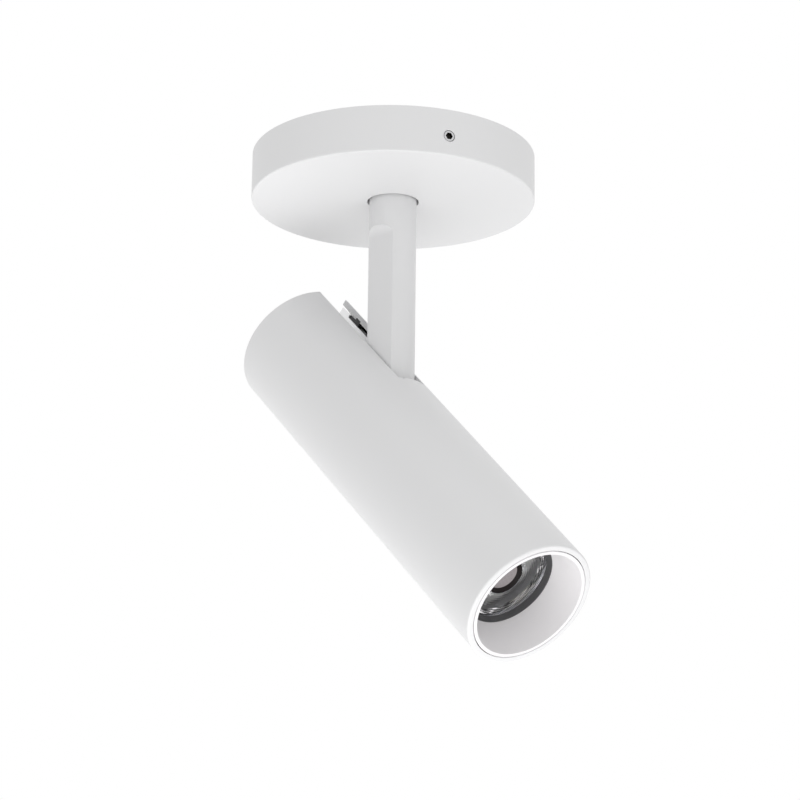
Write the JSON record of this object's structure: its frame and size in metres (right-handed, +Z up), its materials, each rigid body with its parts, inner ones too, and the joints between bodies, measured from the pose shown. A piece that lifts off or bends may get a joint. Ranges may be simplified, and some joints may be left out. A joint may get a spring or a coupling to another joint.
{
  "type": "surface mounted ceiling spotlight",
  "caption": "White ceiling spotlight: flat round canopy, short stem that swivels, and a tube head that tilts on a hinge in its slot, with a conical snoot and a deep-set lens.",
  "frame": {"origin": "centre of the face that lies on the ceiling, on the stem's axis", "axes": "+Z up into the ceiling, along the stem's axis; +X is the side that the head's front points to at rest; the head tilts about Y"},
  "size_m": [0.1725, 0.12, 0.2255],
  "materials": {
    "white_powder_coat": "fine matt white powder coat",
    "white_snoot": "satin white enamel",
    "machined_aluminium": "fine machined",
    "zinc_plated_steel": "bright zinc plate",
    "stainless_screw": "turned stainless steel",
    "brass_screw": "turned brass",
    "black_plastic": "fine matt moulding",
    "white_plastic": "smooth moulding",
    "black_rubber": "smooth rubber",
    "satin_black": "satin moulding",
    "white_resist": "white solder resist",
    "circuit_board": "solder resist",
    "phosphor": "silicone over phosphor",
    "clear_lens": "moulded clear, ribbed"
  },
  "bodies": {
    "canopy": {"canopy_cover": "white_powder_coat", "ceiling_plate": "zinc_plated_steel", "cable_grommet": "black_rubber", "cover_set_screws": "stainless_screw", "swivel_bush": "black_plastic", "thrust_washer": "black_plastic", "pan_stop_pin": "stainless_screw", "driver_case": "white_plastic", "driver_lid": "white_plastic", "driver_board": "circuit_board", "driver_screws": "zinc_plated_steel", "terminal_block": "white_plastic", "terminal_screws": "zinc_plated_steel", "terminal_fixing_screw": "zinc_plated_steel", "earth_screw": "brass_screw", "earth_washer": "brass_screw"},
    "stem": {"stem": "white_powder_coat", "stop_disc": "zinc_plated_steel", "swivel_spring": "stainless_screw", "swivel_nut": "zinc_plated_steel", "lead_bush": "black_plastic"},
    "head": {"head_tube": "white_powder_coat", "hinge_bracket": "machined_aluminium", "hinge_screw": "stainless_screw", "friction_washers": "black_plastic", "bracket_screws": "zinc_plated_steel", "rear_baffle": "black_plastic", "head_lock_screw": "stainless_screw", "heat_sink": "machined_aluminium", "led_board": "white_resist", "led_emitter": "phosphor", "led_retainer": "white_plastic", "retainer_screws": "zinc_plated_steel", "lens": "clear_lens", "lens_spacer": "machined_aluminium", "lens_holder": "satin_black", "snoot": "white_snoot", "snoot_o_ring": "black_rubber"}
  },
  "joints": [
    {"name": "stem_pan", "type": "hinge", "parent": "canopy", "child": "stem", "pos_m": [0, 0, -0.02], "axis": [0, 0, 1], "range_deg": [-165, 165]},
    {"name": "head_tilt", "type": "hinge", "parent": "stem", "child": "head", "pos_m": [0, 0, -0.1], "axis": [0, -1, 0], "range_deg": [-45, 45]}
  ]
}
